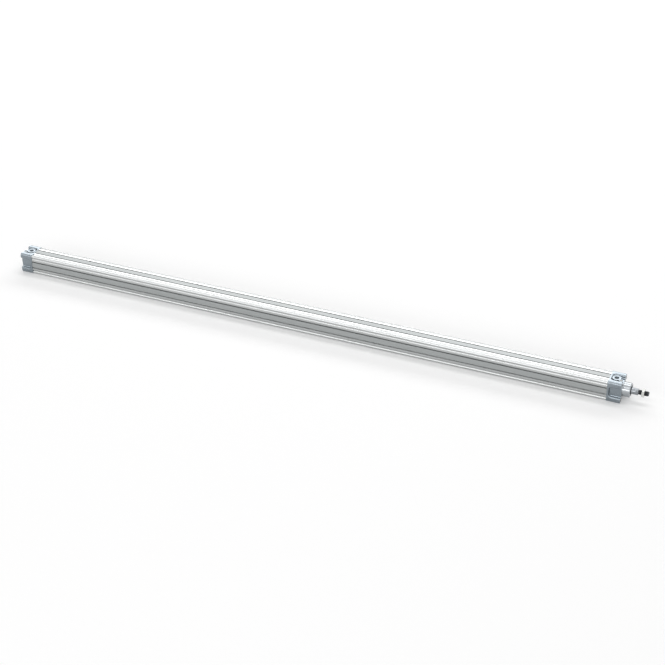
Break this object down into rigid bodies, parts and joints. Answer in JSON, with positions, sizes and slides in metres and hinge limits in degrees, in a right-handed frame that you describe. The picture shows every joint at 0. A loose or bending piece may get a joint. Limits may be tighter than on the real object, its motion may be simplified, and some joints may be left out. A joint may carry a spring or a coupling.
{
  "type": "pneumatic cylinder",
  "caption": "Long double-acting pneumatic cylinder: square profile barrel with sensor slots, cast end caps with ports, and a piston rod with threaded end and lock nut.",
  "frame": {"origin": "centre of the front mounting face, where the rod-end boss leaves the cap", "axes": "+X along the rod towards its thread, +Z towards the side with the ports and cushion screws, +Y completes a right-handed frame"},
  "size_m": [1.669, 0.054, 0.054],
  "materials": {
    "anodised_profile": "clear anodised extrusion, satin, fine lines along its length",
    "cast_cap": "die-cast aluminium, fine blasted skin with a thin clear coat",
    "zinc_steel": "zinc-plated steel",
    "chromed_rod": "hard-chromed, ground and polished steel",
    "nitrile": "black nitrile rubber",
    "polyurethane": "dark polyurethane",
    "bearing_bronze": "sintered bronze",
    "needle_steel": "turned steel, nickel-plated",
    "piston_alloy": "turned aluminium",
    "acetal": "filled acetal",
    "bonded_magnet": "plastic-bonded magnet"
  },
  "bodies": {
    "barrel": {"barrel": "anodised_profile", "front_cap": "cast_cap", "rear_cap": "cast_cap", "front_cap_screws": "zinc_steel", "rear_cap_screws": "zinc_steel", "front_barrel_seal": "nitrile", "rear_barrel_seal": "nitrile", "front_cushion_seal": "polyurethane", "rear_cushion_seal": "polyurethane", "rod_bush": "bearing_bronze", "rod_seal": "polyurethane", "rod_wiper": "polyurethane"},
    "guide_band": {"guide_band": "acetal"},
    "rod": {"piston_rod": "chromed_rod", "piston_front_half": "piston_alloy", "piston_rear_half": "piston_alloy", "piston_rod_ring": "nitrile", "piston_magnet": "bonded_magnet", "front_piston_seal": "polyurethane", "rear_piston_seal": "polyurethane", "front_cushion_sleeve": "piston_alloy", "rear_cushion_sleeve": "piston_alloy", "piston_nut": "zinc_steel", "rod_lock_nut": "zinc_steel"},
    "front_needle_ring": {"front_cushion_ring": "nitrile"},
    "front_needle": {"front_cushion_screw": "needle_steel"},
    "rear_needle_ring": {"rear_cushion_ring": "nitrile"},
    "rear_needle": {"rear_cushion_screw": "needle_steel"}
  },
  "joints": [
    {"name": "rod_slide", "type": "slide", "parent": "barrel", "child": "guide_band", "axis": [1, 0, 0], "range_m": [-0.006, 1.494]},
    {"name": "rod_turn", "type": "hinge", "parent": "guide_band", "child": "rod", "pos_m": [0, 0, 0], "axis": [1, 0, 0], "continuous": true},
    {"name": "front_needle_lift", "type": "slide", "parent": "barrel", "child": "front_needle_ring", "axis": [0, 0, 1], "range_m": [0, 0.0015]},
    {"name": "front_needle_turn", "type": "hinge", "parent": "front_needle_ring", "child": "front_needle", "pos_m": [-0.0055, -0.008, 0.02], "axis": [0, 0, 1], "range_deg": [0, 1080]},
    {"name": "rear_needle_lift", "type": "slide", "parent": "barrel", "child": "rear_needle_ring", "axis": [0, 0, 1], "range_m": [0, 0.0015]},
    {"name": "rear_needle_turn", "type": "hinge", "parent": "rear_needle_ring", "child": "rear_needle", "pos_m": [-1.5995, -0.008, 0.02], "axis": [0, 0, 1], "range_deg": [0, 1080]}
  ],
  "couplings": [
    {"joint": "front_needle_turn", "follows": "front_needle_lift", "rad_per_m": 12566},
    {"joint": "rear_needle_turn", "follows": "rear_needle_lift", "rad_per_m": 12566}
  ]
}
